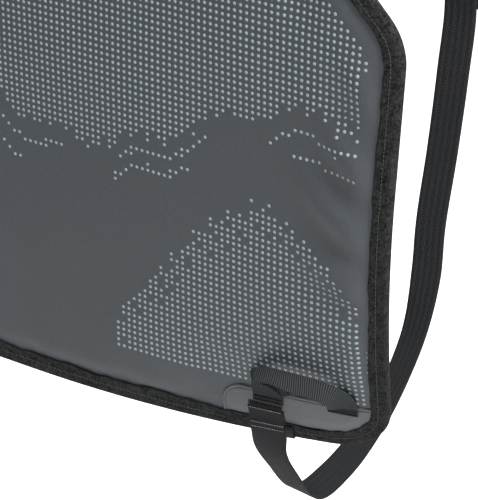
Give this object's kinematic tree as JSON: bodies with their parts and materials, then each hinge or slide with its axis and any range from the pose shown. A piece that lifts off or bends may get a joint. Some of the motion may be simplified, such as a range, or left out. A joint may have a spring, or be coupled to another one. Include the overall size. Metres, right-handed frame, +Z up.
{
  "type": "tailgate bike pad",
  "caption": "Padded cover that hangs over a pickup tailgate so that bikes can ride on it, with webbing straps, buckles and corner handles.",
  "frame": {"origin": "middle of the flat underside that rests on the tailgate's top edge", "axes": "+X along the tailgate to the outer panel's right, seen from outside; +Y from the outer panel towards the bed; +Z up"},
  "size_m": [0.6908, 0.3469, 0.6343],
  "materials": {
    "tarpaulin": "satin, smooth",
    "patch_tarpaulin": "satin, smooth",
    "foam": "matte",
    "fleece": "matte, brushed",
    "tape": "matte, woven",
    "webbing": "matte, woven",
    "ribbed_webbing": "matte, ribbed",
    "plastic": "satin",
    "steel": "satin",
    "ink": "matte"
  },
  "bodies": {
    "root": {"outer_cover": "tarpaulin", "foam_core": "foam", "lining": "fleece", "edge_binding": "tape", "print_wave": "ink", "print_hill_left": "ink", "print_hill_right": "ink", "corner_patch_left": "patch_tarpaulin", "corner_patch_right": "patch_tarpaulin", "corner_handle_left": "ribbed_webbing", "corner_handle_right": "ribbed_webbing", "tailgate_strap_left": "webbing", "tailgate_strap_right": "webbing", "strap_stay_left": "ribbed_webbing", "strap_stay_right": "ribbed_webbing", "buckle_left": "plastic", "buckle_right": "plastic", "buckle_tab_left": "webbing", "buckle_tab_right": "webbing", "frame_strap_base_left": "patch_tarpaulin", "frame_strap_base_right": "patch_tarpaulin", "frame_strap_anchor_left": "webbing", "frame_strap_anchor_right": "webbing", "frame_strap_left": "webbing", "frame_strap_right": "webbing", "frame_strap_ring_left": "steel", "frame_strap_ring_right": "steel"}
  },
  "joints": []
}
